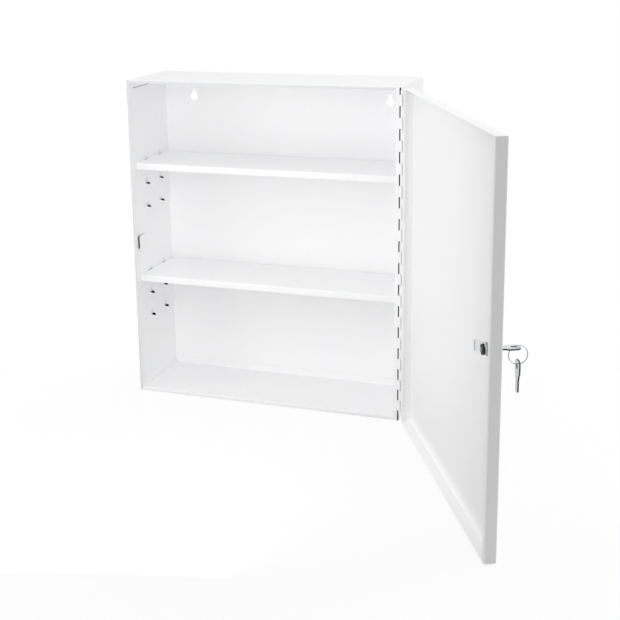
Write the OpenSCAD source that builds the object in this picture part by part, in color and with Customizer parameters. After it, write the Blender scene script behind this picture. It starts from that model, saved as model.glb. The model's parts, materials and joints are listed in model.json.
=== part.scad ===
// Lockable wall cabinet in folded sheet steel: an open box with two lift-out shelves, a pan door
// on a full-height piano hinge, and a cam lock with a key, a ring and a spare key.
// X runs along the wall to the right, Y into the wall and Z up. The door stands open by door_open.

/* [Cabinet] */
// Outside width of the cabinet and of its door
cab_w = 436; // [400:1:480]
// Outside height of the cabinet
cab_h = 508; // [500:1:540]
// Outside depth of the cabinet without its door
cab_d = 140; // [130:1:170]
// Thickness of all the sheet steel
sheet = 1; // [0.8:0.1:1.2]
// Outside radius of the folded edges
bend_r = 2; // [1.4:0.1:2.2]
// Width of the left front return
return_left = 4; // [3.5:0.5:4.5]
// Width of the right front return, which carries the hinge
return_right = 7; // [7:0.5:9]
// Height of the lip above the opening
top_lip = 4; // [3.5:0.5:6]
// Height of the hemmed lip below the opening
bottom_lip = 5.5; // [4:0.5:8]
// Depth of the flanges that join the top and the bottom to the walls
join_flange = 14; // [10:1:18]

/* [Wall holes] */
// Distance between the two keyholes
keyhole_spacing = 332; // [280:1:340]
// Height of the keyhole circles below the top of the cabinet
keyhole_drop = 40.5; // [36:0.5:60]
// Diameter of the keyhole circles
keyhole_d = 12.7; // [11:0.1:14]
// Width of the keyhole necks
neck_w = 6.4; // [5:0.1:8]
// Rise of the neck's end centre above the circle's centre
neck_rise = 9; // [7:0.5:12]

/* [Shelves] */
// Gap between a shelf's end and the wall
shelf_end_gap = 1.5; // [1:0.1:2]
// Setback of the shelf's front from the front of the cabinet
shelf_setback = 17; // [14:1:24]
// Gap between a shelf and the back
shelf_back_gap = 4; // [3:1:10]
// Depth of the shelf's front and rear flanges
shelf_lip = 10.2; // [10:0.1:16]
// Height of the upper row of shelf rests
rest_top_z = 374.3; // [360:0.1:390]
// Distance between rows of rests in a group
rest_pitch = 38.1; // [34:0.1:42]
// Distance from the upper group of rests down to the lower group
rest_group_drop = 184; // [170:1:190]
// Depth of the front column of rests behind the front
rest_front_y = 54; // [45:1:60]
// Depth of the rear column of rests behind the front
rest_rear_y = 105; // [90:1:110]
// Outside radius of a pressed rest
rest_r = 5.6; // [5:0.1:6]

/* [Door] */
// Depth of the door pan from its skin to its rim
door_depth = 15.5; // [15:0.1:18]
// Gap between the door's rim and the front of the closed cabinet
door_gap = 3.9; // [3.8:0.1:4.2]
// Angle at which the door stands open
door_open = 117; // [0:1:180]
// Height of the door's lower edge above the cabinet's
door_low = 1.5; // [1:0.5:3]
// Distance of the door's upper edge below the cabinet's
door_drop = 0.5; // [0.5:0.5:3]
// Width of the door's returns at its hinge side and its lock side
door_return = 7; // [6:0.5:8]
// Height of the stiffening pan above the skin
liner_rise = 2; // [1.8:0.1:3]
// Margin of the stiffening pan at the hinge side
liner_hinge_margin = 28; // [24:1:40]
// Margin of the stiffening pan at the lock side
liner_lock_margin = 34; // [33:1:50]
// Margin of the stiffening pan at the top
liner_top_margin = 3; // [3:1:30]
// Margin of the stiffening pan at the bottom
liner_bottom_margin = 19; // [15:1:30]

/* [Hinge] */
// Distance of the pin's axis beyond the cabinet's right side
pin_out = 2.3; // [2.2:0.1:4]
// Diameter of the hinge pin
pin_d = 1.84; // [1.7:0.01:1.86]
// Length of a knuckle, with the gap to the next
knuckle_pitch = 16.6; // [12:0.1:24]
// Length of the hinge's uppermost knuckle, where the hinge was cut to length
knuckle_top = 6.7; // [5:0.1:12]
// Height of the hinge's lower end
hinge_low = 11.4; // [8:0.1:20]
// Distance of the hinge's upper end below the top
hinge_drop = 3.1; // [3:0.1:20]
// Gap between neighbouring knuckles
knuckle_gap = 0.4; // [0.3:0.05:0.8]

/* [Lock] */
// Distance of the lock's axis from the door's free edge
lock_inset = 19; // [18:0.5:20]
// Height of the lock's axis
lock_z = 260.8; // [200:0.1:300]
// Diameter of the lock's body
lock_body_d = 16; // [15.5:0.1:16.5]
// Diameter of the lock's head
lock_head_d = 22; // [20:0.5:24]
// Thickness of the lock's head
lock_head_t = 2.5; // [2:0.1:3]
// Diameter of the turning plug
plug_d = 12; // [11.8:0.1:12.2]
// Reach of the cam from the lock's axis
cam_reach = 17.3; // [16.5:0.1:17.4]
// Width of the cam
cam_w = 13.8; // [12:0.1:14]
// Number of wafers in the plug
wafer_count = 5; // [3:1:5]

/* [Keys] */
// Length of a key's bow
bow_len = 23.6; // [22:0.1:25]
// Width of a key's bow
bow_w = 15; // [13:0.5:17]
// Width of a key's blade
blade_w = 7.6; // [7:0.1:7.8]
// Thickness of a key
key_t = 2; // [1.6:0.1:2.1]
// Mean radius of the key ring
ring_r = 11.3; // [11:0.1:13]
// Diameter of the key ring's wire
ring_wire = 1.5; // [1.2:0.1:1.6]

/* [Hidden] */
$fn = 48;

// A small overrun that lets a cut pass its surface
eps = 0.5;
// Radius inside a fold
fold_r = bend_r - sheet;

// Heights on the cabinet
keyhole_z = cab_h - keyhole_drop;
relief_r = 0.75;
relief_inset = 3;
return_cut = 7;
hem_t = 2 * sheet;

// The join flanges of the top stop short of the front and the back
top_join_front = 18;
top_join_back = cab_d - 18;
shear_depth = 0.5;
shear_rise = 1;

// A rest is a hollow bulge, open above a plane that falls away from the wall; the wall is thinned
// behind it and has a pilot hole
rest_bore_r = rest_r - sheet;
rest_lean = 22;
rest_edge_rise = 1;
rest_thinning = 0.4;
rest_pilot_r = 1.4;
rest_pilot_drop = 1.2;
rest_cut = 18;
// Above its opening the wall is dented by the punch, less and less toward the top
dent_r = 25;
dent_depth = 0.6;
dent_rise = 10;
dent_low = rest_edge_rise / 2;
rest_rows = [for (g = [0, 1], i = [0:2]) rest_top_z - g * rest_group_drop - i * rest_pitch];

// A shelf's ends bear with their lower edges on the leaning rims of its rests
shelf_w = cab_w - 2 * (sheet + shelf_end_gap);
shelf_back = cab_d - sheet - shelf_back_gap;
shelf_over_rest = rest_edge_rise - shelf_end_gap * tan(rest_lean);
shelf_upper_z = rest_rows[0] + shelf_over_rest;
shelf_lower_z = rest_rows[3] + shelf_over_rest;

// The keeper is a tab on the left wall, level with the lock, over a shallow pocket in the wall
keeper_z1 = lock_z - 3.8;
keeper_z0 = keeper_z1 - 22.5;
keeper_front = 13.5;
keeper_ramp_end = 36;
keeper_back = 44;
keeper_lift = 3.7;
keeper_round = 8;
keeper_pocket = 0.5;
keeper_pocket_end = 33;

// The hinge: both leaves wrap round the pin, flush with the two faces that they lie on,
// and each leaf is cut back beside the other's knuckles
barrel_r = door_gap / 2;
pin_x = cab_w + pin_out;
pin_y = -barrel_r;
leaf_bore_r = barrel_r - sheet;
leaf_clear = 2.3;
hinge_high = cab_h - hinge_drop;
knuckle_count = ceil((hinge_high - knuckle_top - hinge_low) / knuckle_pitch) + 1;

// The door in its closed place
door_z0 = door_low;
door_z1 = cab_h - door_drop;
door_back = -door_gap;
door_front = -door_gap - door_depth;

// The lock along its own axis: 0 is the door's rim and the skin's outside is at door_depth
lock_face = door_depth + lock_head_t;
housing_end = 2;
running_gap = 0.03;
housing_bore_r = plug_d / 2 + running_gap;
collar_r = 7;
collar_t = 1.5;
head_chamfer = 1;
lock_nut_t = 3;
lock_nut_across = 22;
plug_end = 1.2;
tenon_w = 6.4;
cam_t = 1.6;
cam_crank_start = 6.5;
cam_crank_end = 14.5;
cam_drop = 6.5;
washer_t = 0.5;
washer_r = 5.6;
cam_nut_r = 7;
cam_nut_t = 2.5;
stud_r = 3;
stud_tail = 1.2;
cam_rear = plug_end - cam_t;
nut_front = cam_rear - washer_t;
stud_end = nut_front - cam_nut_t - stud_tail;

// The wafers slide across the plug and let the blade through
keyway_w = 7.9;
keyway_t = 2.3;
keyway_end = 2;
wafer_first = 4.6;
wafer_pitch = 2.6;
wafer_t = 0.9;
wafer_len = 10.2;
wafer_h = 5.6;
wafer_slot_h = 8;
wafer_slot_t = 1.1;
spring_r = 0.45;
spring_wire = 0.18;
spring_len = 5;
spring_turns = 5;
spring_y = wafer_h / 2 + spring_r + spring_wire / 2 + running_gap;

// A key, measured from the shoulder where its bow meets its blade
shoulder_gap = 0.2;
blade_len = 15.8;
neck_len = 4;
key_neck_w = 10;
bow_corner = 5.5;
bow_hole_r = 2.2;
bow_bar = 4.4;
bow_slot = 2.6;
bow_hole_near = bow_len - bow_bar - bow_hole_r - bow_slot;
bow_hole_far = bow_len - bow_bar - bow_hole_r;
bit_count = 4;
bit_depth = 0.9;
bit_pitch = 2.9;
tip_cut = 1.8;

// The ring hangs over the bar at the end of the bow
ring_play = 0.25;
ring_inner = ring_r - ring_wire / 2;
shoulder_n = lock_face + shoulder_gap;
ring_n = shoulder_n + bow_len - bow_bar / 2;
ring_y = key_t / 2 + ring_play - sqrt(pow(ring_inner, 2) - pow(bow_bar / 2, 2));
spare_top_y = ring_y - ring_r + ring_wire / 2 + ring_play + bow_bar;

// Place a sub-part in the shared frame: the origin is midway between the keyholes on the back
module in_frame() translate([-cab_w / 2, -cab_d, -keyhole_z]) children();

// Swing a sub-part that is drawn on the closed door out to the door's open place
module in_door() in_frame()
    translate([pin_x, pin_y, 0]) rotate([0, 0, door_open]) translate([-pin_x, -pin_y, 0])
        children();

// Stand a sub-part on the lock's axis, with Z outward and X toward the hinge
module in_lock() in_door() translate([lock_inset, door_back, lock_z]) rotate([90, 0, 0]) children();

// Extrude an outline that is drawn in Y and Z along X
module along_x(x0, x1) translate([x0, 0, 0]) rotate([90, 0, 90]) linear_extrude(x1 - x0) children();

// A box between two corners
module block(a, b) translate(a) cube(b - a);

// A rectangle between two corners with rounded corners
module round_rect(a, b, r) {
    translate([a.x + r, a.y]) square([b.x - a.x - 2 * r, b.y - a.y]);
    translate([a.x, a.y + r]) square([b.x - a.x, b.y - a.y - 2 * r]);
    for (x = [a.x + r, b.x - r], y = [a.y + r, b.y - r]) translate([x, y]) circle(r);
}

// A closed band of folded sheet inside a rounded rectangle
module folded_band(a, b) difference() {
    round_rect(a, b, bend_r);
    round_rect(a + [sheet, sheet], b - [sheet, sheet], fold_r);
}

// One pressed rest on a wall whose inner face is x = 0, with the room at x above 0
module rest_scoop() difference() {
    sphere(rest_r);
    sphere(rest_bore_r);
    translate([-rest_cut, -rest_cut / 2, -rest_cut / 2]) cube(rest_cut);
    rest_opening();
}

// Everything above the plane that leans through a rest's rim
module rest_opening() translate([0, 0, rest_edge_rise]) rotate([0, rest_lean, 0])
    translate([-rest_cut / 2, -rest_cut / 2, 0]) cube(rest_cut);

// What a rest takes out of the wall: the thinned round behind the bulge, the pilot hole, the dent
module rest_hole() {
    intersection() {
        translate([-rest_thinning, 0, 0]) rotate([0, 90, 0]) cylinder(r = rest_bore_r, h = rest_cut);
        translate([-rest_cut / 2, -rest_cut / 2, rest_edge_rise - rest_cut]) cube(rest_cut);
    }
    translate([-sheet - eps, 0, -rest_pilot_drop]) rotate([0, 90, 0])
        cylinder(r = rest_pilot_r, h = sheet + 2 * eps);
    translate([-dent_depth, 0, dent_low]) rotate([0, atan(dent_depth / dent_rise), 0])
        translate([dent_r, 0, 0]) cylinder(r = dent_r, h = 2 * dent_rise);
}

// Repeat something at every rest of the left wall, then mirrored on the right wall
module at_rests() for (side = [0, 1], y = [rest_front_y, rest_rear_y], z = rest_rows)
    translate([side * cab_w, 0, 0]) mirror([side, 0, 0]) translate([sheet, y, z]) children();

// One keyhole through the back, with its neck upward
module keyhole() rotate([90, 0, 0]) translate([0, 0, -sheet]) {
    cylinder(d = keyhole_d, h = 3 * sheet);
    translate([-neck_w / 2, 0, 0]) cube([neck_w, neck_rise, 3 * sheet]);
    translate([0, neck_rise, 0]) cylinder(d = neck_w, h = 3 * sheet);
}

// Left wall, back and right wall, folded from one sheet
module body_wrap() color("white") in_frame() {
    difference() {
        linear_extrude(cab_h) difference() {
            folded_band([0, 0], [cab_w, cab_d]);
            translate([return_left, -eps])
                square([cab_w - return_left - return_right, sheet + 2 * eps]);
        }
        for (side = [-1, 1])
            translate([cab_w / 2 + side * keyhole_spacing / 2, cab_d, keyhole_z]) keyhole();
        at_rests() rest_hole();
        block([sheet - keeper_pocket, keeper_front + sheet, keeper_z0 + sheet],
            [sheet + eps, keeper_pocket_end, keeper_z1 - sheet]);
        for (z = [relief_inset, cab_h - relief_inset])
            translate([cab_w - return_right, sheet + eps, z]) rotate([90, 0, 0])
                cylinder(r = relief_r, h = sheet + 2 * eps);
        translate([cab_w - return_right, -eps, 0]) rotate([0, 45, 0])
            translate([-return_cut, 0, -return_cut])
                cube([2 * return_cut, sheet + eps, return_cut]);
    }
    at_rests() rest_scoop();
}

// The two flanges that stand against the side walls
module side_flanges(y0, y1, z0, z1) for (x = [sheet, cab_w - 2 * sheet])
    block([x, y0, z0], [x + sheet, y1, z1]);

// The slope along the lower edges of the top's side flanges, where they were sheared
module sheared_edge() for (side = [0, 1])
    translate([side * cab_w, top_join_back + eps, cab_h - join_flange]) mirror([side, 0, 0])
        translate([2 * sheet, 0, 0]) rotate([90, 0, 0])
            linear_extrude(top_join_back - top_join_front + 2 * eps) polygon([[-shear_depth, -eps],
                [eps, -eps], [eps, shear_rise], [0, shear_rise], [-shear_depth, 0]]);

// The top: a pan inside the walls with a lip in front
module top_pan() color("white") in_frame() {
    along_x(return_left, cab_w - return_right) difference() {
        folded_band([0, cab_h - join_flange], [cab_d - sheet, cab_h]);
        translate([-eps, -eps]) square([sheet + 2 * eps, cab_h - top_lip + eps]);
        translate([-eps, cab_h - join_flange - eps]) square([cab_d, bend_r + eps]);
    }
    for (x = [[sheet, return_left], [cab_w - return_right, cab_w - sheet]])
        block([x[0], bend_r, cab_h - sheet], [x[1], cab_d - bend_r - sheet, cab_h]);
    difference() {
        side_flanges(top_join_front, top_join_back, cab_h - join_flange, cab_h - sheet);
        sheared_edge();
    }
}

// The bottom: a pan inside the walls with a hemmed lip in front
module bottom_pan() color("white") in_frame() {
    along_x(return_left, cab_w - return_right) {
        difference() {
            folded_band([0, 0], [cab_d - sheet, join_flange]);
            translate([-eps, bottom_lip - sheet]) square([sheet + 2 * eps, join_flange]);
            translate([-eps, join_flange - bend_r]) square([cab_d, bend_r + eps]);
        }
        translate([0, bend_r]) square([hem_t, bottom_lip - sheet - bend_r]);
        translate([hem_t / 2, bottom_lip - sheet]) circle(d = hem_t);
    }
    for (x = [[sheet, return_left], [cab_w - return_right, cab_w - sheet]])
        block([x[0], bend_r, 0], [x[1], cab_d - bend_r - sheet, sheet]);
    side_flanges(hem_t, cab_d - 2 * sheet - bend_r, 0, join_flange - bend_r);
}

// A shelf folded down at its front and its rear, with its underside at height z
module shelf(z) color("white") in_frame() along_x(sheet + shelf_end_gap, sheet + shelf_end_gap + shelf_w)
    difference() {
        folded_band([shelf_setback, z + sheet - shelf_lip - bend_r], [shelf_back, z + sheet]);
        translate([shelf_setback - eps, z - shelf_lip - 2 * bend_r])
            square([shelf_back - shelf_setback + 2 * eps, sheet + 2 * bend_r]);
    }

module shelf_upper() shelf(shelf_upper_z);

module shelf_lower() shelf(shelf_lower_z);

// The keeper: a tab that ramps off the left wall toward the front
module strike_keeper() color("white") in_frame() intersection() {
    translate([0, 0, keeper_z0]) linear_extrude(keeper_z1 - keeper_z0) polygon([
        [sheet, keeper_back], [2 * sheet, keeper_back], [2 * sheet, keeper_ramp_end],
        [sheet + keeper_lift, keeper_front], [keeper_lift, keeper_front],
        [sheet, keeper_ramp_end - sheet]]);
    along_x(0, sheet + keeper_lift + eps) {
        round_rect([keeper_front + bend_r, keeper_z0], [keeper_back, keeper_z1], keeper_round);
        round_rect([keeper_front, keeper_z0], [keeper_back - keeper_round, keeper_z1], bend_r);
    }
}

// Lower end of a knuckle, counted from the top, where the hinge was cut to length at both ends
function knuckle_z(i) = max(hinge_low, hinge_high - knuckle_top - i * knuckle_pitch);

// Upper end of a knuckle
function knuckle_high(i) = i == 0 ? hinge_high : knuckle_z(i - 1);

// One leaf: its plate, notched beside the other leaf's knuckles, and its own rolled knuckles
module hinge_leaf(plate_x, plate_y, first) {
    difference() {
        block([plate_x, plate_y, hinge_low], [pin_x, plate_y + sheet, hinge_high]);
        for (i = [1 - first:2:knuckle_count - 1])
            block([pin_x - barrel_r - leaf_clear, plate_y - eps, notch_low(i)],
                [pin_x + eps, plate_y + sheet + eps, notch_high(i)]);
        for (i = [first:2:knuckle_count - 1])
            translate([pin_x, pin_y, knuckle_z(i) - eps])
                cylinder(r = leaf_bore_r, h = knuckle_high(i) - knuckle_z(i) + 2 * eps);
    }
    for (i = [first:2:knuckle_count - 1])
        translate([pin_x, pin_y, knuckle_z(i) + knuckle_gap / 2]) difference() {
            cylinder(r = barrel_r, h = knuckle_high(i) - knuckle_z(i) - knuckle_gap);
            translate([0, 0, -eps]) cylinder(r = leaf_bore_r, h = knuckle_pitch + 2 * eps);
        }
}

// The notch beside a knuckle runs out at the hinge's ends
function notch_low(i) = knuckle_z(i) - (i == knuckle_count - 1 ? eps : knuckle_gap / 2);
function notch_high(i) = knuckle_high(i) + (i == 0 ? eps : knuckle_gap / 2);

module hinge_cabinet_leaf() color("gainsboro") in_frame()
    hinge_leaf(cab_w - return_right, -sheet, 1);

module hinge_door_leaf() color("gainsboro") in_door()
    hinge_leaf(cab_w - door_return, -door_gap, 0);

module hinge_pin() color("dimgray") in_frame()
    translate([pin_x, pin_y, hinge_low]) cylinder(d = pin_d, h = hinge_high - hinge_low);

// The door's outer or inner envelope, rounded at the skin's four edges
module door_envelope(inset, r) intersection() {
    translate([0, 0, door_z0 + inset]) linear_extrude(door_z1 - door_z0 - 2 * inset)
        round_rect([inset, door_front + inset], [cab_w - inset, door_back - inset], r);
    along_x(inset, cab_w - inset)
        round_rect([door_front + inset, door_z0 + inset], [door_back + bend_r, door_z1 - inset], r);
}

// The door: a skin with four flanges, and returns at the hinge side and the lock side
module door_pan() color("white") in_door() difference() {
    door_envelope(0, bend_r);
    door_envelope(sheet, fold_r);
    block([door_return, door_back - 2 * sheet, door_z0 + sheet],
        [cab_w - door_return, door_back + eps, door_z1 - sheet]);
    translate([lock_inset, door_front + sheet + eps, lock_z]) rotate([90, 0, 0])
        cylinder(d = lock_body_d, h = sheet + 2 * eps);
}

// The stiffening pan on the inside of the skin
module door_liner() color("white") in_door() difference() {
    liner_block(0, bend_r);
    liner_block(sheet, fold_r);
}

// The stiffening pan's outer or inner envelope
module liner_block(inset, r) {
    skin_in = door_front + sheet;
    x0 = liner_lock_margin + inset;
    x1 = cab_w - liner_hinge_margin - inset;
    z0 = door_z0 + liner_bottom_margin + inset;
    z1 = door_z1 - liner_top_margin - inset;
    y1 = skin_in + liner_rise - inset;
    intersection() {
        translate([0, 0, z0]) linear_extrude(z1 - z0) difference() {
            round_rect([x0, skin_in - 2 * bend_r], [x1, y1], r);
            translate([x0 - eps, skin_in - 3 * bend_r])
                square([x1 - x0 + 2 * eps, 3 * bend_r - (inset > 0 ? eps : 0)]);
        }
        along_x(x0, x1) round_rect([skin_in - 2 * bend_r, z0], [y1, z1], r);
    }
}

// The lock's housing: a body through the skin with a wide head outside
module lock_housing() color("silver") in_lock() difference() {
    rotate_extrude() polygon([[0, housing_end], [lock_body_d / 2, housing_end],
        [lock_body_d / 2, door_depth], [lock_head_d / 2, door_depth],
        [lock_head_d / 2, lock_face - head_chamfer], [lock_head_d / 2 - head_chamfer, lock_face],
        [0, lock_face]]);
    translate([0, 0, housing_end - eps]) cylinder(r = housing_bore_r, h = lock_face);
    translate([0, 0, lock_face - collar_t]) cylinder(r = collar_r + running_gap, h = collar_t + eps);
}

// The hexagon nut that clamps the housing to the skin
module lock_nut() color("silver") in_lock()
    translate([0, 0, door_depth - sheet - lock_nut_t]) difference() {
        cylinder(d = lock_nut_across / cos(30), h = lock_nut_t, $fn = 6);
        translate([0, 0, -eps]) cylinder(d = lock_body_d, h = lock_nut_t + 2 * eps);
    }

// Heights of the wafers along the lock's axis
wafer_n = [for (i = [0:wafer_count - 1]) wafer_first + i * wafer_pitch];

// The plug: a collar in the head, the keyway, the wafers' slots, a square tenon and a stud
module lock_plug() color("lightgray") in_lock() difference() {
    union() {
        translate([0, 0, plug_end]) cylinder(d = plug_d, h = lock_face - plug_end);
        translate([0, 0, lock_face - collar_t + running_gap])
            cylinder(r = collar_r, h = collar_t - running_gap);
        block([-tenon_w / 2, -tenon_w / 2, cam_rear], [tenon_w / 2, tenon_w / 2, plug_end]);
        translate([0, 0, stud_end]) cylinder(r = stud_r, h = cam_rear - stud_end + eps);
    }
    block([-keyway_w / 2, -keyway_t / 2, keyway_end], [keyway_w / 2, keyway_t / 2, lock_face + eps]);
    for (n = wafer_n)
        block([-plug_d, -wafer_slot_h / 2, n], [plug_d, wafer_slot_h / 2, n + wafer_slot_t]);
}

// The wafers: plates with a window for the blade
module lock_wafers() color("gold") in_lock() for (n = wafer_n)
    translate([0, 0, n + (wafer_slot_t - wafer_t) / 2]) linear_extrude(wafer_t) difference() {
        square([wafer_len, wafer_h], center = true);
        square([keyway_w, keyway_t], center = true);
    }

// A corner of the square wire's section, at angle a round the coil
function coil_point(a, rise, corner) =
    let (r = spring_r + spring_wire / 2 * cos(corner))
    [r * cos(a), r * sin(a), rise + spring_wire / 2 * sin(corner)];

// A coil spring along Z: a square wire swept round a helix in flat steps
module coil_spring() {
    steps = spring_turns * 8;
    points = [for (i = [0:steps], c = [0:3]) coil_point(i * 45, i / steps * spring_len, c * 90)];
    sides = [for (i = [0:steps - 1], c = [0:3])
        [i * 4 + c, i * 4 + (c + 1) % 4, (i + 1) * 4 + (c + 1) % 4, (i + 1) * 4 + c]];
    polyhedron(points, concat([[3, 2, 1, 0], [for (c = [0:3]) steps * 4 + c]],
        [for (f = sides) [f[0], f[1], f[2]]], [for (f = sides) [f[0], f[2], f[3]]]));
}

// One spring lies beside each wafer
module wafer_springs() color("darkgray") in_lock() for (n = wafer_n)
    translate([-spring_len / 2, spring_y, n + wafer_slot_t / 2]) rotate([0, 90, 0]) coil_spring();

// The cam: a cranked bar with a square hole, drawn pointing toward the hinge
module lock_cam() color("silver") in_lock() difference() {
    intersection() {
        translate([0, cam_w / 2, 0]) rotate([90, 0, 0]) linear_extrude(cam_w) polygon([
            [-cam_w / 2, plug_end], [cam_crank_start, plug_end],
            [cam_crank_end, plug_end - cam_drop], [cam_reach, plug_end - cam_drop],
            [cam_reach, cam_rear - cam_drop], [cam_crank_end - cam_t / 2, cam_rear - cam_drop],
            [cam_crank_start - cam_t / 2, cam_rear], [-cam_w / 2, cam_rear]]);
        translate([0, 0, cam_rear - cam_drop - eps]) linear_extrude(cam_drop + 2 * cam_t) {
            circle(d = cam_w);
            round_rect([0, -cam_w / 2], [cam_reach, cam_w / 2], bend_r);
        }
    }
    block([-tenon_w / 2, -tenon_w / 2, cam_rear - eps], [tenon_w / 2, tenon_w / 2, plug_end + eps]);
}

// A flat ring round the lock's stud
module cam_washer() color("gray") in_lock() translate([0, 0, nut_front]) difference() {
    cylinder(r = washer_r, h = washer_t);
    translate([0, 0, -eps]) cylinder(r = stud_r, h = washer_t + 2 * eps);
}

// The nut that holds the cam, with two of its flats across the door
module cam_nut() color("dimgray") in_lock() translate([0, 0, nut_front - cam_nut_t]) difference() {
    rotate([0, 0, 30]) cylinder(r = cam_nut_r, h = cam_nut_t, $fn = 6);
    translate([0, 0, -eps]) cylinder(r = stud_r, h = cam_nut_t + 2 * eps);
}

// A key's outline: the blade points down and the bow stands above the shoulder
module key_outline() difference() {
    union() {
        polygon([[-blade_w / 2, 0], [-blade_w / 2, tip_cut - blade_len],
            [-blade_w / 2 + tip_cut, -blade_len], [blade_w / 2 - tip_cut, -blade_len],
            [blade_w / 2, tip_cut - blade_len], [blade_w / 2, 0]]);
        round_rect([-key_neck_w / 2, 0], [key_neck_w / 2, neck_len + bow_corner], bend_r);
        round_rect([-bow_w / 2, neck_len], [bow_w / 2, bow_len], bow_corner);
    }
    for (y = [bow_hole_near, bow_hole_far]) translate([0, y]) circle(bow_hole_r);
    translate([-bow_hole_r, bow_hole_near]) square([2 * bow_hole_r, bow_hole_far - bow_hole_near]);
    for (side = [-1, 1], i = [0:bit_count - 1])
        translate([side * blade_w / 2, (i + 0.5 * (side + 1) / 2 - bit_count) * bit_pitch])
            rotate(45) square(bit_depth, center = true);
}

// The key in the lock lies flat, with its blade in the keyway
module key() color("silver") in_lock() translate([0, key_t / 2, shoulder_n]) rotate([90, 0, 0])
    linear_extrude(key_t) key_outline();

module key_ring() color("silver") in_lock() translate([0, ring_y, ring_n]) rotate([0, 90, 0])
    rotate_extrude() translate([ring_r, 0]) circle(d = ring_wire);

// The spare key hangs from the ring, square to the one in the lock
module spare_key() color("silver") in_lock()
    translate([0, spare_top_y - bow_len, ring_n - key_t / 2]) linear_extrude(key_t) key_outline();

body_wrap();
top_pan();
bottom_pan();
shelf_upper();
shelf_lower();
strike_keeper();
hinge_cabinet_leaf();
hinge_pin();
hinge_door_leaf();
door_pan();
door_liner();
lock_housing();
lock_nut();
lock_plug();
lock_wafers();
wafer_springs();
lock_cam();
cam_washer();
cam_nut();
key();
key_ring();
spare_key();
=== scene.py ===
import json
import math

import bpy
from mathutils import Matrix, Vector


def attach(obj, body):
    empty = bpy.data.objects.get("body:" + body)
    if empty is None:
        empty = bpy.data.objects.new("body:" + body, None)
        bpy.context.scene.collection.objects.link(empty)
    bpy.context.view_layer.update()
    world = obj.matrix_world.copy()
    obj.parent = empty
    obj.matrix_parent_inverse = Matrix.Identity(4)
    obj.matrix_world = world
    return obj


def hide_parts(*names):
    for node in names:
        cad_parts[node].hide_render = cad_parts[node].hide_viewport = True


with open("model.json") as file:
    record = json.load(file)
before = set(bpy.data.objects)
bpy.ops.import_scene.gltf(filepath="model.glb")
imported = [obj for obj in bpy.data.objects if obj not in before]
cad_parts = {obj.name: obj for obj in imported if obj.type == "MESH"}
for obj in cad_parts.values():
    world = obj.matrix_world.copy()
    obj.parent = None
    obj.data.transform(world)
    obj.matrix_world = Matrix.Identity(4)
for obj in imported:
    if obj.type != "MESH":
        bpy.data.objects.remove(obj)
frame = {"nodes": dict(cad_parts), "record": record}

bl_info = {
    "name": "Lockable medicine cabinet",
    "version": (1, 0, 0),
    "blender": (4, 5, 0),
    "location": "View3D > Sidebar > Cabinet",
    "description": "Finishes a folded-steel wall cabinet: powder coat, hinge, cam lock and keys",
    "category": "Object",
}

MM = 0.001

# The cabinet's own sizes in millimetres, from its left lower front corner; Y runs to the wall
CABINET_W = 436.0
CABINET_D = 140.0
CABINET_H = 508.0
KEYHOLE_Z = 467.5
SHEET = 1.0

# The pressed shelf rests in the side walls
REST_COLUMNS = (54.0, 105.0)
REST_TOP_Z = 374.3
REST_PITCH = 38.1
REST_GROUP_DROP = 184.0
REST_R = 5.6

# The radius of the folds, the two front returns and the middle height of the keeper on the left wall
FOLD_R = 2.0
RETURN_LEFT = 4.0
RETURN_RIGHT = 7.0
KEEPER_Z = 245.75

# The hinge-side edge of the door's liner, which is its stiffening pan, on the closed door
LINER_EDGE_X = 408.0

# The door turns about its hinge pin and stands open by this angle
PIN = Vector((438.3, -1.95, 0.0))
DOOR_OPEN = math.radians(117.0)
DOOR_GAP = 3.9

# The lock's axis on the closed door, and how far from it the tip of the cam begins, painted darker as shade
LOCK_X = 19.0
LOCK_Z = 260.8
CAM_TIP = 14.3

# The key ring's middle above the lock's axis and outward from the door's rim, its radius and its wire
RING_Y = -9.07
RING_N = 39.6
RING_R = 11.3
RING_WIRE = 1.5

# Turns of the split ring, the angle at which they start, how closely they press together, and how
# finely they are drawn
RING_TURNS = 1.9
RING_START = 0.6
RING_PRESS = 1.05
RING_STEPS = 96
WIRE_SIDES = 12

# How far above its middle and past its hollow a rest is painted dark as shade, and the depth and reach of
# its dent
MOUTH_RISE = 1.2
MOUTH_PLAY = 0.1
DENT_DEPTHS = (0.03, 0.7)
DENT_REACH = 13.0

# The reliefs at the ends of the right front return, painted dark as shade: their height and half their width
RELIEF_H = 3.9
RELIEF_HALF_W = 0.9

# The pocket behind the keeper, painted dark as shade: its floor inside the sheet, its rear end and half its
# height
POCKET_FLOOR = (0.4, 0.6)
POCKET_REAR = 33.0
POCKET_HALF_H = 11.0

# The top's front lip with the flanges beside it, and how far the side flanges run
TOP_LIP_H = 25.0
TOP_FLANGES = (15.0, 125.0)

# The studio's soft boxes in metres: where each stands, what it is turned to, its width and height
LAMPS = {
    "side_box": ((-0.03, -0.7, -0.24), (-0.22, -0.05, -0.24), 0.36, 1.1),
    "high_box": ((0.0, -0.5, 0.55), (-0.03, -0.07, -0.2), 0.8, 0.4),
    "left_box": ((-1.2, -1.0, -0.22), (0.25, -0.3, -0.4), 0.9, 1.1),
    "rear_box": ((1.4, 0.6, 1.0), (0.1, -0.1, -0.1), 1.2, 0.8),
    "right_box": ((1.5, 0.3, 0.1), (0.2, -0.07, 0.0), 0.8, 0.8),
}

# The floor's size, the middle of the place where it keeps its shadow, and the distances from that
# middle at which the shadow starts and stops fading, all in metres
FLOOR_SIZE = 40.0
SHADOW_MIDDLE = (0.22, -0.35, 0.0)
SHADOW_FADE = (0.3, 0.75)

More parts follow.
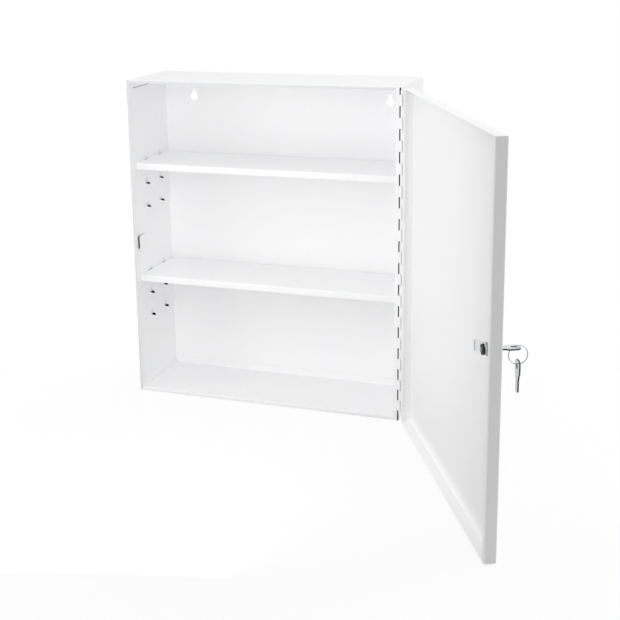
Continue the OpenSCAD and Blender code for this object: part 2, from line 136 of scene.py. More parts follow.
# Points this close are merged, and so are faces this nearly level; facets that meet at less than the
# smooth angle are one smooth surface, and edges sharper than the fold angle are rounded
WELD_MM = 0.002
LEVEL_ANGLE = math.radians(0.3)
SMOOTH_ANGLE = math.radians(32.0)
FOLD_ANGLE = math.radians(40.0)

# Shares of a face's normal along a direction: partly turned that way, facing that way, square to it
TURNED = 0.3
FACING = 0.55
SQUARE = 0.7

# The shares sideways and downward at the sheared edge of the top's flanges, and the share across a
# key's flat below which a face belongs to the key's edge
FLANGE_ASIDE = 0.8
FLANGE_DOWN = 0.2
KEY_EDGE = 0.6


def to_linear(code):
    """Turns a hex sRGB colour into the linear colour that shaders take."""
    parts = [int(code[i:i + 2], 16) / 255 for i in (1, 3, 5)]
    line = [c / 12.92 if c <= 0.04045 else ((c + 0.055) / 1.055) ** 2.4 for c in parts]
    return (*line, 1.0)


def in_cabinet(x, y, z):
    """A point of the cabinet, from its left lower front corner, in the frame's metres."""
    return Vector((x - CABINET_W / 2, y - CABINET_D, z - KEYHOLE_Z)) * MM


def in_lock(x, y, n):
    """A point by the lock: x toward the hinge, y up and n outward from the door's rim."""
    closed = Vector((LOCK_X + x, -DOOR_GAP - n, LOCK_Z + y))
    swung = PIN + Matrix.Rotation(DOOR_OPEN, 3, "Z") @ (closed - PIN)
    return in_cabinet(*swung)


def lock_way(x, y, n):
    """A direction by the lock: x toward the hinge, y up and n outward from the door's rim."""
    return (in_lock(x, y, n) - in_lock(0, 0, 0)).normalized()


# ---------------------------------------------------------------- materials

def add_node(tree, kind, values=None, links=None, **settings):
    """Adds a node, sets its properties and input values, and links its inputs."""
    node = tree.nodes.new(kind)
    for name, value in settings.items():
        setattr(node, name, value)
    for socket, value in (values or {}).items():
        node.inputs[socket].default_value = value
    for socket, source in (links or {}).items():
        tree.links.new(source, node.inputs[socket])
    return node


def new_material(name, colour, metallic, roughness):
    """Starts a material and returns it with its tree, its shader and its object coordinates."""
    material = bpy.data.materials.new(name)
    material.use_nodes = True
    tree = material.node_tree
    shader = tree.nodes["Principled BSDF"]
    shader.inputs["Base Color"].default_value = colour
    shader.inputs["Metallic"].default_value = metallic
    shader.inputs["Roughness"].default_value = roughness
    place = add_node(tree, "ShaderNodeTexCoord").outputs["Object"]
    return material, tree, shader, place


def per_metre(size_mm):
    """The scale at which a procedural pattern repeats about every size_mm."""
    return 1 / (size_mm * MM)


def vary_roughness(tree, shader, pattern, low, high):
    """Lets a pattern move the roughness between two values."""
    spread = add_node(tree, "ShaderNodeMapRange", {"To Min": low, "To Max": high}, {"Value": pattern})
    tree.links.new(spread.outputs["Result"], shader.inputs["Roughness"])


def tint(tree, shader, pattern, first, second):
    """Lets a pattern mix two close colours."""
    mix = add_node(tree, "ShaderNodeMix", data_type="RGBA")
    mix.inputs[6].default_value = first
    mix.inputs[7].default_value = second
    tree.links.new(pattern, mix.inputs[0])
    tree.links.new(mix.outputs[2], shader.inputs["Base Color"])


def relief(tree, shader, pattern, depth_mm):
    """Turns a pattern into a surface relief of that depth."""
    bump = add_node(tree, "ShaderNodeBump", {"Strength": 1.0, "Distance": depth_mm * MM},
                    {"Height": pattern})
    tree.links.new(bump.outputs["Normal"], shader.inputs["Normal"])


def powder_coat(name, colour, shade):
    """Polyester powder coat on cold-rolled steel: satin, with the faint orange peel of a baked film."""
    material, tree, shader, place = new_material(name, colour, 0.0, 0.5)
    # Orange peel is about 1 mm across on a real door; it is drawn at 3 mm so that it shows
    peel = add_node(tree, "ShaderNodeTexNoise", {"Scale": per_metre(3.0), "Detail": 2.0}, {"Vector": place})
    cloud = add_node(tree, "ShaderNodeTexNoise", {"Scale": per_metre(90.0), "Detail": 3.0},
                     {"Vector": place})
    tint(tree, shader, cloud.outputs["Fac"], colour, shade)
    vary_roughness(tree, shader, peel.outputs["Fac"], 0.44, 0.56)
    relief(tree, shader, peel.outputs["Fac"], 0.02)
    return material


def bare_sheared_steel(name, colour, shade):
    """A dark, dull steel-like finish painted as shade in the mouths of the pressed rests and in gaps and
    crevices.
    """
    material, tree, shader, place = new_material(name, colour, 0.6, 0.7)
    grain = add_node(tree, "ShaderNodeTexNoise", {"Scale": per_metre(0.6), "Detail": 3.0}, {"Vector": place})
    tint(tree, shader, grain.outputs["Fac"], colour, shade)
    vary_roughness(tree, shader, grain.outputs["Fac"], 0.6, 0.85)
    return material


def plated_metal(name, colour, shade, roughness, grain_mm):
    """Nickel or zinc plate: bright, with a fine cloudy grain and small changes of gloss."""
    material, tree, shader, place = new_material(name, colour, 1.0, roughness)
    grain = add_node(tree, "ShaderNodeTexNoise", {"Scale": per_metre(grain_mm), "Detail": 4.0},
                     {"Vector": place})
    tint(tree, shader, grain.outputs["Fac"], colour, shade)
    vary_roughness(tree, shader, grain.outputs["Fac"], roughness * 0.8, roughness * 1.35)
    relief(tree, shader, grain.outputs["Fac"], 0.01)
    return material


def drawn_wire(name, colour, shade):
    """Drawn steel wire: fine lines along its length."""
    material, tree, shader, place = new_material(name, colour, 1.0, 0.35)
    stretch = add_node(tree, "ShaderNodeMapping", {"Scale": (1.0, 1.0, 0.05)}, {"Vector": place})
    lines = add_node(tree, "ShaderNodeTexNoise", {"Scale": per_metre(0.4), "Detail": 2.0},
                     {"Vector": stretch.outputs["Vector"]})
    tint(tree, shader, lines.outputs["Fac"], colour, shade)
    vary_roughness(tree, shader, lines.outputs["Fac"], 0.28, 0.5)
    return material


def punched_edge(name, colour, shade):
    """The torn edge of punched and plated sheet: duller than its face, with short streaks across it."""
    material, tree, shader, place = new_material(name, colour, 0.9, 0.5)
    streaks = add_node(tree, "ShaderNodeTexNoise", {"Scale": per_metre(0.5), "Detail": 3.0},
                       {"Vector": place})
    tint(tree, shader, streaks.outputs["Fac"], colour, shade)
    vary_roughness(tree, shader, streaks.outputs["Fac"], 0.4, 0.65)
    relief(tree, shader, streaks.outputs["Fac"], 0.02)
    return material


def black_oxide(name, colour, shade):
    """Blackened steel of a plain nut: dark, slightly mottled and half dull."""
    material, tree, shader, place = new_material(name, colour, 0.5, 0.45)
    mottle = add_node(tree, "ShaderNodeTexNoise", {"Scale": per_metre(1.5), "Detail": 4.0},
                      {"Vector": place})
    tint(tree, shader, mottle.outputs["Fac"], colour, shade)
    vary_roughness(tree, shader, mottle.outputs["Fac"], 0.38, 0.6)
    relief(tree, shader, mottle.outputs["Fac"], 0.02)
    return material


def stamped_brass(name, colour, shade):
    """Stamped brass plate: warm, rolled one way and slightly dulled."""
    material, tree, shader, place = new_material(name, colour, 1.0, 0.3)
    roll = add_node(tree, "ShaderNodeMapping", {"Scale": (0.1, 1.0, 1.0)}, {"Vector": place})
    lines = add_node(tree, "ShaderNodeTexNoise", {"Scale": per_metre(0.5), "Detail": 2.0},
                     {"Vector": roll.outputs["Vector"]})
    tint(tree, shader, lines.outputs["Fac"], colour, shade)
    vary_roughness(tree, shader, lines.outputs["Fac"], 0.25, 0.42)
    return material


def finish_materials(finish):
    """Makes each of the cabinet's finishes once and returns them by name."""
    makers = {
        "powder_coated_steel": lambda n: powder_coat(n, finish.coat, finish.coat_shade),
        # A darker seam colour painted as shade along the liner's hinge-side edge
        "thin_coat_seam": lambda n: powder_coat(n, finish.seam, finish.seam_shade),
        # A slightly darker coat colour painted as shade in the dents above the rests
        "coat_in_dents": lambda n: powder_coat(n, finish.dent, finish.dent_shade),
        # A darker coat colour painted as shade on the front-facing edges
        "coat_on_front_edges": lambda n: powder_coat(n, finish.lip, finish.lip_shade),
        # A near-black colour painted as shade in rest mouths, reliefs, the keeper's pocket, hinge folds and
        # flange edges
        "bare_sheared_steel": lambda n: bare_sheared_steel(n, finish.painted_dark, finish.painted_dark_grain),
        "satin_nickel_zinc": lambda n: plated_metal(n, finish.nickel, finish.nickel_shade, 0.3, 1.2),
        "bright_zinc_plate": lambda n: plated_metal(n, finish.zinc, finish.zinc_shade, 0.42, 2.0),
        # A darker colour painted as shade on the cam's tip, drawn with a punched edge's streaks
        "worn_zinc_plate": lambda n: punched_edge(n, finish.painted_tip_shade, finish.painted_tip_shade_grain),
        "nickel_plated_key": lambda n: plated_metal(n, finish.key, finish.key_shade, 0.3, 0.9),
        # The keys' punched edges are duller metal, and their darker colour is partly painted shade
        "plated_punched_edge": lambda n: punched_edge(n, finish.edge, finish.edge_shade),
        "nickel_plated_ring": lambda n: plated_metal(n, finish.ring, finish.ring_shade, 0.24, 0.9),
        "drawn_steel_wire": lambda n: drawn_wire(n, finish.wire, finish.wire_shade),
        "black_oxide_steel": lambda n: black_oxide(n, finish.black, finish.black_shade),
        "stamped_brass": lambda n: stamped_brass(n, finish.brass, finish.brass_shade),
    }
    return {name: bpy.data.materials.get(name) or make(name) for name, make in makers.items()}


# ---------------------------------------------------------------- modelling

def select_only(piece):
    """Leaves one object selected and active."""
    bpy.ops.object.select_all(action="DESELECT")
    piece.select_set(True)
    bpy.context.view_layer.objects.active = piece


def body_of(node):
    """The name of the body that a node belongs to."""
    bodies = frame["record"]["behaviour"]["bodies"]
    return next(body for body, nodes in bodies.items() if node in nodes)


def soften_edges(piece, edge_mm, segments):
    """Rounds a piece's sharp edges, smooths its curved faces and keeps its flat faces flat."""
    bevel = piece.modifiers.new("edge_radius", "BEVEL")
    bevel.width = edge_mm * MM
    bevel.segments = segments
    bevel.limit_method = "ANGLE"
    bevel.angle_limit = FOLD_ANGLE
    bevel.use_clamp_overlap = True
    bpy.ops.object.modifier_apply(modifier=bevel.name)
    bpy.ops.object.shade_smooth_by_angle(angle=SMOOTH_ANGLE)
    flat = piece.modifiers.new("flat_faces", "WEIGHTED_NORMAL")
    flat.weight = 100
    flat.keep_sharp = True
    bpy.ops.object.modifier_apply(modifier=flat.name)


def dress(node, name, material, edge_mm, segments=2):
    """Copies a node's mesh as one closed surface, rounds its edges and gives it its finish."""
    piece = bpy.data.objects.new(name, frame["nodes"][node].data.copy())
    bpy.context.collection.objects.link(piece)
    select_only(piece)
    bpy.ops.object.mode_set(mode="EDIT")
    bpy.ops.mesh.select_all(action="SELECT")
    bpy.ops.mesh.remove_doubles(threshold=WELD_MM * MM)
    bpy.ops.mesh.dissolve_limited(angle_limit=LEVEL_ANGLE)
    bpy.ops.object.mode_set(mode="OBJECT")
    if edge_mm:
        soften_edges(piece, edge_mm, segments)
    piece.data.materials.clear()
    piece.data.materials.append(material)
    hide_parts(node)
    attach(piece, body_of(node))
    return piece


def rest_centres():
    """The centre of every pressed rest on both side walls, in millimetres."""
    rows = [REST_TOP_Z - group * REST_GROUP_DROP - i * REST_PITCH for group in (0, 1) for i in range(3)]
    return [Vector((x, y, z)) for x in (SHEET, CABINET_W - SHEET) for y in REST_COLUMNS for z in rows]


def nearest_rest(middle):
    """The centre of the rest that is nearest to a point."""
    return min(rest_centres(), key=lambda centre: (centre - middle).length_squared)


def refinish(piece, material, is_picked):
    """Gives another finish to the faces that a test picks by their middle, in millimetres, and normal."""
    slot = len(piece.data.materials)
    piece.data.materials.append(material)
    corner = in_cabinet(0, 0, 0)
    for face in piece.data.polygons:
        if is_picked((Vector(face.center) - corner) / MM, face.normal):
            face.material_index = slot


def painted_shade_on_walls(middle, normal):
    """The hollows of the rests, the return's reliefs, the keeper's pocket and the fold by the hinge, painted
    dark as shade.
    """
    rest = nearest_rest(middle)
    in_rest = (middle - rest).length < REST_R - SHEET + MOUTH_PLAY and middle.z < rest.z + MOUTH_RISE
    by_end = min(middle.z, CABINET_H - middle.z) < RELIEF_H
    by_return = abs(middle.x - CABINET_W + RETURN_RIGHT) < RELIEF_HALF_W
    in_relief = by_end and by_return and middle.y < SHEET and abs(normal.y) < FACING
    on_pocket_floor = POCKET_FLOOR[0] < middle.x < POCKET_FLOOR[1]
    in_pocket = on_pocket_floor and middle.y < POCKET_REAR and abs(middle.z - KEEPER_Z) < POCKET_HALF_H
    on_fold = middle.x > CABINET_W - FOLD_R and middle.y < FOLD_R and normal.y < -TURNED
    return in_rest or in_relief or in_pocket or on_fold


def dented_wall(middle, normal):
    """The shallow dents that the punch left above the rests, painted a little darker as shade."""
    rest = nearest_rest(middle)
    in_a_wall = abs(middle.x - CABINET_W / 2) > CABINET_W / 2 - SHEET
    is_deep = DENT_DEPTHS[0] < abs(middle.x - rest.x) < DENT_DEPTHS[1]
    return in_a_wall and is_deep and middle.z > rest.z and (middle - rest).length < DENT_REACH


def on_front_edge(middle, normal):
    """The front edges of the top and of the left wall, painted darker as shade."""
    on_lip = middle.x < RETURN_LEFT or middle.z > CABINET_H - TOP_LIP_H
    return on_lip and middle.y < SHEET and normal.y < -SQUARE


def door_shut(middle):
    """Where a point of the open door lies when the door is shut."""
    return Matrix.Rotation(-DOOR_OPEN, 3, "Z") @ (middle - PIN) + PIN


def facing_shut(normal):
    """Which way a face of the open door points when the door is shut."""
    return Matrix.Rotation(-DOOR_OPEN, 3, "Z") @ normal


def painted_shade_on_door(middle, normal):
    """The fold behind the hinge's knuckles, painted dark as shade."""
    shut = door_shut(middle)
    on_fold = shut.x > CABINET_W - FOLD_R and shut.y > -DOOR_GAP - FOLD_R
    return on_fold and facing_shut(normal).y > TURNED


def painted_shade_on_liner(middle, normal):
    """The liner's edge at the hinge side, painted with a darker seam colour as shade."""
    return door_shut(middle).x > LINER_EDGE_X - FOLD_R and facing_shut(normal).x > FACING


def painted_shade_on_top(middle, normal):
    """The sheared lower edges of the top's side flanges, painted dark as the shadow under them."""
    on_flange = TOP_FLANGES[0] < middle.y < TOP_FLANGES[1]
    return on_flange and abs(normal.x) > FLANGE_ASIDE and normal.z < -FLANGE_DOWN


def painted_shade_on_keeper(middle, normal):
    """The side of the keeper that faces the wall, painted dark as shade."""
    return normal.x < -FACING


def painted_shade_on_cam(middle, normal):
    """The tip of the cam, which rubs on the front return, painted darker as shade."""
    return door_shut(middle).x > LOCK_X + CAM_TIP


def tube_along(name, points, radius, sides):
    """A closed tube round a line of points, made as a curve and turned into a mesh."""
    curve = bpy.data.curves.new(name, "CURVE")
    curve.dimensions = "3D"
    curve.bevel_depth = radius
    curve.bevel_resolution = sides // 4
    curve.use_fill_caps = True
    line = curve.splines.new("POLY")
    line.points.add(len(points) - 1)
    for point, place in zip(line.points, points):
        point.co = (*place, 1.0)
    piece = bpy.data.objects.new(name, curve)
    bpy.context.collection.objects.link(piece)
    select_only(piece)
    bpy.ops.object.convert(target="MESH")
    piece = bpy.context.view_layer.objects.active
    bpy.ops.object.shade_smooth_by_angle(angle=SMOOTH_ANGLE)
    return piece


# ---------------------------------------------------------------- settings

def colour_setting(name, code, about):
    """A colour that the user may change, given as a hex sRGB value."""
    return bpy.props.FloatVectorProperty(name=name, description=about, subtype="COLOR", size=4,
                                         min=0.0, max=1.0, default=to_linear(code))


def power_setting(name, place, watts):
    """A soft box's power, which the user may change."""
    return bpy.props.FloatProperty(name=name, description="Power of the " + place, unit="POWER",
                                   default=watts, min=0.0)


class CabinetFinish(bpy.types.PropertyGroup):
    """Colours of the cabinet's finishes."""
    coat: colour_setting("Powder coat", "#FBFBFB", "Colour of the coated steel")
    coat_shade: colour_setting("Powder coat shade", "#F8F8F9", "Slightly darker places in the coat")
    # Seam: a darker colour painted as shade on the liner's hinge-side edge
    seam: colour_setting("Seam", "#F6F2EC", "Colour of the coat where it runs thin along a seam")
    seam_shade: colour_setting("Seam shade", "#EDE8E1", "Darker places along a seam")
    # Dents: a slightly darker colour painted as shade in the dents above the rests
    dent: colour_setting("Dents", "#F3F3F4", "Colour of the thinner coat in the dents above the rests")
    dent_shade: colour_setting("Dent shade", "#EDEDEE", "Darker places in the dents")
    # Front edges: a darker colour painted as shade on the front-facing edges, with a darker mottle
    lip: colour_setting("Front edges", "#E4E4E6", "Colour of the coat on the sheet's front edges")
    lip_shade: colour_setting("Front edge shade", "#DEDEE0", "Darker places on the front edges")
    # A near-black colour painted as shade in hollows, gaps and sheared edges, with a lighter grain
    painted_dark: colour_setting("Bare steel", "#1B1A1A", "Colour inside the pressed rests")
    painted_dark_grain: colour_setting("Bare steel shade", "#2A2827", "Lighter grain inside the pressed rests")
    nickel: colour_setting("Satin nickel", "#B4B5B7", "Colour of the lock's housing and plug")
    nickel_shade: colour_setting("Satin nickel shade", "#A3A4A6", "Darker grain of the nickel")
    zinc: colour_setting("Zinc plate", "#EAECED", "Colour of the cam, its washer and the lock's nut")
    zinc_shade: colour_setting("Zinc plate shade", "#DADCDE", "Darker grain of the zinc")
    # Cam tip: a darker colour painted as the shade of the cam's bent tip
    painted_tip_shade: colour_setting("Worn zinc", "#A9ABAD", "Colour of the cam's tip, where it rubs")
    painted_tip_shade_grain: colour_setting("Worn zinc shade", "#96989B", "Darker streaks of the worn tip")
    key: colour_setting("Key nickel", "#E3E5E7", "Colour of the keys' faces")
    key_shade: colour_setting("Key nickel shade", "#D3D5D8", "Darker grain of the keys' faces")
    # Punched edges: duller metal whose darker colour is partly painted shade on the keys' edges
    edge: colour_setting("Punched edge", "#6F7174", "Colour of the keys' punched edges")
    edge_shade: colour_setting("Punched edge shade", "#5A5C60", "Darker streaks of the punched edges")
    ring: colour_setting("Ring nickel", "#9C9EA1", "Colour of the key ring")
    ring_shade: colour_setting("Ring nickel shade", "#85878B", "Darker grain of the key ring")
    wire: colour_setting("Steel wire", "#6E7073", "Colour of the hinge pin and the springs")
    wire_shade: colour_setting("Steel wire shade", "#55575A", "Darker lines of the wire")
    black: colour_setting("Black oxide", "#242426", "Colour of the cam's nut")
    black_shade: colour_setting("Black oxide shade", "#333336", "Lighter mottle of the nut")
    brass: colour_setting("Brass", "#B08F4C", "Colour of the wafers")
    brass_shade: colour_setting("Brass shade", "#A08040", "Darker lines of the brass")


class CabinetEdges(bpy.types.PropertyGroup):
    """Edge radii in millimetres."""
    sheet: bpy.props.FloatProperty(name="Sheet edges", description="Radius of the coated sheet edges",
                                   default=0.22, min=0.05, max=0.4)
    lock: bpy.props.FloatProperty(name="Lock edges", description="Radius of the lock's edges",
                                  default=0.2, min=0.05, max=0.5)


class CabinetStudio(bpy.types.PropertyGroup):
    """Camera and light."""
    camera_place: bpy.props.FloatVectorProperty(
        name="Camera place", description="Camera's place from the cabinet's left lower front corner, in mm",
        size=3, default=(855.9, -1660.5, 715.0))
    heading: bpy.props.FloatProperty(name="Heading", description="Turn of the camera to the left",
                                     subtype="ANGLE", default=math.radians(20.13))
    tilt: bpy.props.FloatProperty(name="Tilt", description="Downward tilt of the camera",
                                  subtype="ANGLE", default=math.radians(13.88))
    roll: bpy.props.FloatProperty(name="Roll", description="Roll of the camera",
                                  subtype="ANGLE", default=math.radians(-0.97))
    lens: bpy.props.FloatProperty(name="Lens", description="Focal length in mm on a 36 mm wide sensor",
                                  default=69.46, min=20.0, max=200.0)
    shift_x: bpy.props.FloatProperty(name="Shift across", description="Sideways shift of the lens",
                                     default=0.050)
    shift_y: bpy.props.FloatProperty(name="Shift up", description="Vertical shift of the lens",
                                     default=-0.120)
    sky: bpy.props.FloatProperty(name="Room light", description="Strength of the even light all round",
                                 default=0.51, min=0.0)
    sky_top: bpy.props.FloatProperty(name="Room light from above",
                                     description="Strength added straight overhead",
                                     default=0.28, min=0.0)
    side_box: power_setting("Side box", "tall box by the door", 2.0)
    high_box: power_setting("High box", "box over the opening", 0.7)
    left_box: power_setting("Left box", "big box at the left", 4.8)
    rear_box: power_setting("Rear box", "box above and behind", 8.0)
    right_box: power_setting("Right box", "low box at the right", 3.8)
    floor: colour_setting("Floor", "#FBFBFB", "Colour of the studio floor")
    floor_bounce: colour_setting("Floor bounce", "#C6C6C6",
                                 "Colour that the floor throws back on the cabinet")
    floor_white: bpy.props.FloatProperty(name="Floor white",
                                         description="Share of plain white that the camera sees",
                                         default=0.83, min=0.0, max=1.0)


# ---------------------------------------------------------------- operators

class CabinetPiece:
    """What every piece's operator shares."""
    bl_options = {"REGISTER", "UNDO"}

    def finishes(self, context):
        """The cabinet's finishes by name."""
        return finish_materials(context.scene.cabinet_finish)

    def edges(self, context):
        """The edge radii that the user may change."""
        return context.scene.cabinet_edges


class CABINET_OT_walls(CabinetPiece, bpy.types.Operator):
    """Coat the folded side walls and back, with painted shade on the front edges and in the dents, and dark
    painted shade inside the pressed rests, reliefs, pocket and hinge fold
    """
    bl_idname = "cabinet.walls"
    bl_label = "Walls and back"

    def execute(self, context):
        made = self.finishes(context)
        walls = dress("body_wrap", "coated_walls", made["powder_coated_steel"], self.edges(context).sheet)
        refinish(walls, made["coat_on_front_edges"], on_front_edge)
        refinish(walls, made["coat_in_dents"], dented_wall)
        refinish(walls, made["bare_sheared_steel"], painted_shade_on_walls)
        return {"FINISHED"}


class CABINET_OT_sheet_parts(CabinetPiece, bpy.types.Operator):
    """Coat the top, the bottom, the shelves and the keeper"""
    bl_idname = "cabinet.sheet_parts"
    bl_label = "Pans, shelves and keeper"

    def execute(self, context):
        made = self.finishes(context)
        coat = made["powder_coated_steel"]
        edge = self.edges(context).sheet
        for node in ("bottom_pan", "shelf_upper", "shelf_lower"):
            dress(node, "coated_" + node, coat, edge)
        top = dress("top_pan", "coated_top_pan", coat, edge)
        # Painted shade on the top's front edges
        refinish(top, made["coat_on_front_edges"], on_front_edge)
        # Dark painted shadow along the lower edges of the top's side flanges
        refinish(top, made["bare_sheared_steel"], painted_shade_on_top)
        keeper = dress("strike_keeper", "coated_keeper", coat, edge)
        # Dark painted shade on the keeper's side that faces the wall
        refinish(keeper, made["bare_sheared_steel"], painted_shade_on_keeper)
        return {"FINISHED"}


class CABINET_OT_hinge(CabinetPiece, bpy.types.Operator):
    """Coat the hinge's two leaves and draw its pin"""
    bl_idname = "cabinet.hinge"
    bl_label = "Hinge"

    def execute(self, context):
        made = self.finishes(context)
        for node in ("hinge_cabinet_leaf", "hinge_door_leaf"):
            dress(node, "coated_" + node, made["powder_coated_steel"], edge_mm=0.12)
        dress("hinge_pin", "drawn_hinge_pin", made["drawn_steel_wire"], edge_mm=0.15)
        return {"FINISHED"}


class CABINET_OT_door(CabinetPiece, bpy.types.Operator):
    """Coat the door's pan and its stiffening pan"""
    bl_idname = "cabinet.door"
    bl_label = "Door"

    def execute(self, context):
        made = self.finishes(context)
        edge = self.edges(context).sheet
        door = dress("door_pan", "coated_door_pan", made["powder_coated_steel"], edge)
        # Dark painted shade on the fold behind the hinge's knuckles
        refinish(door, made["bare_sheared_steel"], painted_shade_on_door)
        liner = dress("door_liner", "coated_door_liner", made["powder_coated_steel"], edge)
        # Painted shade along the liner's hinge-side edge
        refinish(liner, made["thin_coat_seam"], painted_shade_on_liner)
        return {"FINISHED"}


class CABINET_OT_lock(CabinetPiece, bpy.types.Operator):
    """Plate the lock's housing, plug, cam, nuts, wafers and springs"""
    bl_idname = "cabinet.lock"
    bl_label = "Lock"

    def execute(self, context):
        made = self.finishes(context)
        edge = self.edges(context).lock
        dress("lock_housing", "plated_lock_housing", made["satin_nickel_zinc"], edge)
        dress("lock_nut", "plated_lock_nut", made["bright_zinc_plate"], edge)
        dress("lock_plug", "plated_lock_plug", made["satin_nickel_zinc"], edge_mm=0.1)
        cam = dress("lock_cam", "plated_lock_cam", made["bright_zinc_plate"], edge)
        # Painted shade on the cam's tip
        refinish(cam, made["worn_zinc_plate"], painted_shade_on_cam)
        dress("cam_washer", "plated_cam_washer", made["bright_zinc_plate"], edge_mm=0.1)
        dress("cam_nut", "blackened_cam_nut", made["black_oxide_steel"], edge)
        dress("lock_wafers", "stamped_lock_wafers", made["stamped_brass"], edge_mm=0.08)
        dress("wafer_springs", "drawn_wafer_springs", made["drawn_steel_wire"], edge_mm=0.0)
        return {"FINISHED"}


class CABINET_OT_keys(CabinetPiece, bpy.types.Operator):
    """Plate the key in the lock and the spare key"""
    bl_idname = "cabinet.keys"
    bl_label = "Keys"

    def execute(self, context):
        made = self.finishes(context)
        flat = {"key": lock_way(0, 1, 0), "spare_key": lock_way(0, 0, 1)}
        for node, across in flat.items():
            key = dress(node, "plated_" + node, made["nickel_plated_key"], edge_mm=0.3, segments=3)
            # The keys' punched edges: duller metal, with a darker colour that is partly painted shade
            refinish(key, made["plated_punched_edge"],
                     lambda middle, normal: abs(normal.dot(across)) < KEY_EDGE)
        return {"FINISHED"}


class CABINET_OT_split_ring(CabinetPiece, bpy.types.Operator):
    """Wind the key ring from two turns of wire"""
    bl_idname = "cabinet.split_ring"
    bl_label = "Key ring"

    def execute(self, context):
        made = self.finishes(context)
        wire_r = RING_WIRE / 4
        points = []
        for step in range(int(RING_STEPS * RING_TURNS) + 1):
            turn = step / RING_STEPS
            angle = RING_START + 2 * math.pi * turn
            side = (turn / RING_TURNS - 0.5) * 2 * wire_r
            up = RING_Y + RING_R * math.cos(angle)
            out = RING_N + RING_R * math.sin(angle)
            points.append(in_lock(side, up, out))
        piece = tube_along("split_key_ring", points, RING_PRESS * wire_r * MM, WIRE_SIDES)
        piece.data.materials.append(made["nickel_plated_ring"])
        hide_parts("key_ring")
        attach(piece, body_of("key_ring"))
        return {"FINISHED"}


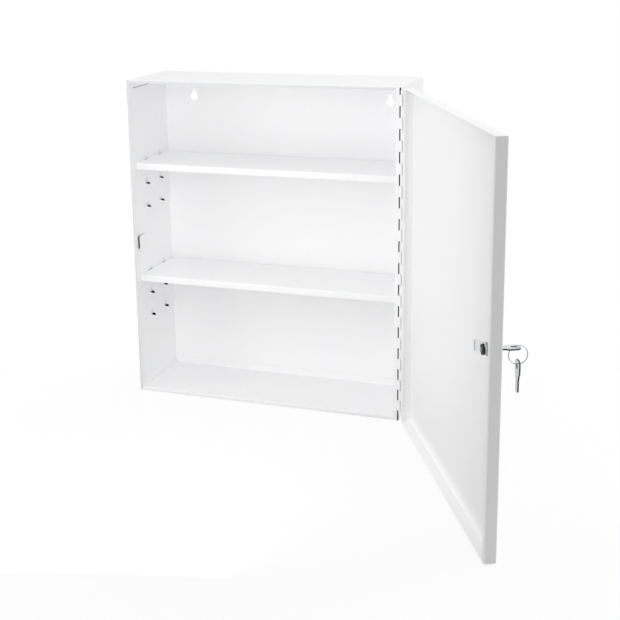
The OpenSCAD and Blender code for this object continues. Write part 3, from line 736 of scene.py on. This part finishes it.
class CABINET_OT_stage(CabinetPiece, bpy.types.Operator):
    """Set the pale floor, the soft light and the camera"""
    bl_idname = "cabinet.stage"
    bl_label = "Studio"

    def execute(self, context):
        studio = context.scene.cabinet_studio
        self.floor(studio)
        self.room(context, studio)
        self.light(context, studio)
        self.camera(context, studio)
        context.scene.view_settings.view_transform = "Standard"
        # A white box passes light from wall to wall many times
        context.scene.cycles.diffuse_bounces = 10
        return {"FINISHED"}

    def floor(self, studio):
        """A plain floor under the cabinet that runs out of sight."""
        bpy.ops.object.select_all(action="DESELECT")
        bpy.ops.mesh.primitive_plane_add(size=FLOOR_SIZE, location=(0.0, 0.0, -KEYHOLE_Z * MM))
        ground = bpy.context.active_object
        ground.name = "studio_floor"
        material, tree, shader, place = new_material("matt_studio_floor", studio.floor, 0.0, 0.9)
        shader.inputs["Specular IOR Level"].default_value = 0.0
        ray = add_node(tree, "ShaderNodeLightPath")
        tint(tree, shader, ray.outputs["Is Camera Ray"], studio.floor_bounce, studio.floor)
        away = add_node(tree, "ShaderNodeVectorMath", {1: SHADOW_MIDDLE}, {0: place}, operation="DISTANCE")
        start, end = SHADOW_FADE
        fade = add_node(tree, "ShaderNodeMapRange",
                        {"From Min": start, "From Max": end, "To Min": studio.floor_white, "To Max": 1.0},
                        {"Value": away.outputs["Value"]}, interpolation_type="SMOOTHSTEP")
        share = add_node(tree, "ShaderNodeMath", operation="MULTIPLY",
                         links={0: ray.outputs["Is Camera Ray"], 1: fade.outputs["Result"]})
        white = add_node(tree, "ShaderNodeEmission", {"Color": (1, 1, 1, 1), "Strength": 1.0})
        mix = add_node(tree, "ShaderNodeMixShader", links={0: share.outputs[0], 1: shader.outputs[0],
                                                          2: white.outputs[0]})
        tree.links.new(mix.outputs[0], tree.nodes["Material Output"].inputs["Surface"])
        ground.data.materials.append(material)

    def room(self, context, studio):
        """An even room that looks white to the camera and in reflections."""
        world = bpy.data.worlds.new("studio_room")
        context.scene.world = world
        world.use_nodes = True
        tree = world.node_tree
        tree.nodes.clear()
        ray = add_node(tree, "ShaderNodeLightPath")
        seen = add_node(tree, "ShaderNodeMath", links={0: ray.outputs["Is Camera Ray"],
                                                      1: ray.outputs["Is Glossy Ray"]}, operation="MAXIMUM")
        way = add_node(tree, "ShaderNodeSeparateXYZ",
                       links={0: add_node(tree, "ShaderNodeNewGeometry").outputs["Position"]})
        lobe = add_node(tree, "ShaderNodeMath", {1: 0.0}, {0: way.outputs["Z"]}, operation="MAXIMUM")
        strength = add_node(tree, "ShaderNodeMath", {1: studio.sky_top, 2: studio.sky},
                            {0: lobe.outputs[0]}, operation="MULTIPLY_ADD").outputs[0]
        even = add_node(tree, "ShaderNodeBackground", {"Color": (1, 1, 1, 1)}, {"Strength": strength})
        white = add_node(tree, "ShaderNodeBackground", {"Color": (1, 1, 1, 1), "Strength": 1.0})
        mix = add_node(tree, "ShaderNodeMixShader", links={0: seen.outputs[0], 1: even.outputs[0],
                                                          2: white.outputs[0]})
        add_node(tree, "ShaderNodeOutputWorld", links={"Surface": mix.outputs[0]})

    def light(self, context, studio):
        """Soft boxes round the open front."""
        for name, (place, target, width, height) in LAMPS.items():
            lamp = bpy.data.lights.new(name, "AREA")
            lamp.shape = "RECTANGLE"
            lamp.size = width
            lamp.size_y = height
            lamp.energy = getattr(studio, name)
            box = bpy.data.objects.new(name, lamp)
            context.collection.objects.link(box)
            box.visible_camera = False
            box.location = Vector(place)
            box.rotation_euler = (Vector(target) - box.location).to_track_quat("-Z", "Y").to_euler()

    def camera(self, context, studio):
        """The camera, turned to the left, tilted down and shifted a little."""
        view = bpy.data.cameras.new("studio_camera")
        view.sensor_width = 36.0
        view.lens = studio.lens
        view.shift_x = studio.shift_x
        view.shift_y = studio.shift_y
        view.clip_start = 0.01
        view.clip_end = 100.0
        camera = bpy.data.objects.new("studio_camera", view)
        context.collection.objects.link(camera)
        camera.location = in_cabinet(*studio.camera_place)
        turn = Matrix.Rotation(studio.heading, 3, "Z") @ Matrix.Rotation(math.pi / 2 - studio.tilt, 3, "X")
        camera.rotation_euler = (turn @ Matrix.Rotation(studio.roll, 3, "Z")).to_euler()
        context.scene.camera = camera


class CABINET_PT_panel(bpy.types.Panel):
    """Lists the cabinet's pieces and settings"""
    bl_idname = "CABINET_PT_panel"
    bl_label = "Medicine cabinet"
    bl_space_type = "VIEW_3D"
    bl_region_type = "UI"
    bl_category = "Cabinet"

    def draw(self, context):
        for operator in PIECES:
            self.layout.operator(operator.bl_idname)
        scene = context.scene
        for group in (scene.cabinet_finish, scene.cabinet_edges, scene.cabinet_studio):
            box = self.layout.box()
            for name in group.bl_rna.properties.keys():
                if name not in ("rna_type", "name"):
                    box.prop(group, name)


PIECES = (CABINET_OT_stage, CABINET_OT_walls, CABINET_OT_sheet_parts, CABINET_OT_hinge, CABINET_OT_door,
          CABINET_OT_lock, CABINET_OT_keys, CABINET_OT_split_ring)
CLASSES = (CabinetFinish, CabinetEdges, CabinetStudio, *PIECES, CABINET_PT_panel)


def register():
    """Registers the classes and hangs their settings on the scene."""
    for kind in CLASSES:
        bpy.utils.register_class(kind)
    bpy.types.Scene.cabinet_finish = bpy.props.PointerProperty(type=CabinetFinish)
    bpy.types.Scene.cabinet_edges = bpy.props.PointerProperty(type=CabinetEdges)
    bpy.types.Scene.cabinet_studio = bpy.props.PointerProperty(type=CabinetStudio)


def unregister():
    """Takes the settings and the classes away again."""
    del bpy.types.Scene.cabinet_studio
    del bpy.types.Scene.cabinet_edges
    del bpy.types.Scene.cabinet_finish
    for kind in reversed(CLASSES):
        bpy.utils.unregister_class(kind)


def main():
    """Makes the cabinet's pieces."""
    register()
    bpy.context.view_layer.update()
    for operator in PIECES:
        group, name = operator.bl_idname.split(".")
        getattr(getattr(bpy.ops, group), name)()


if __name__ == "__main__":
    main()
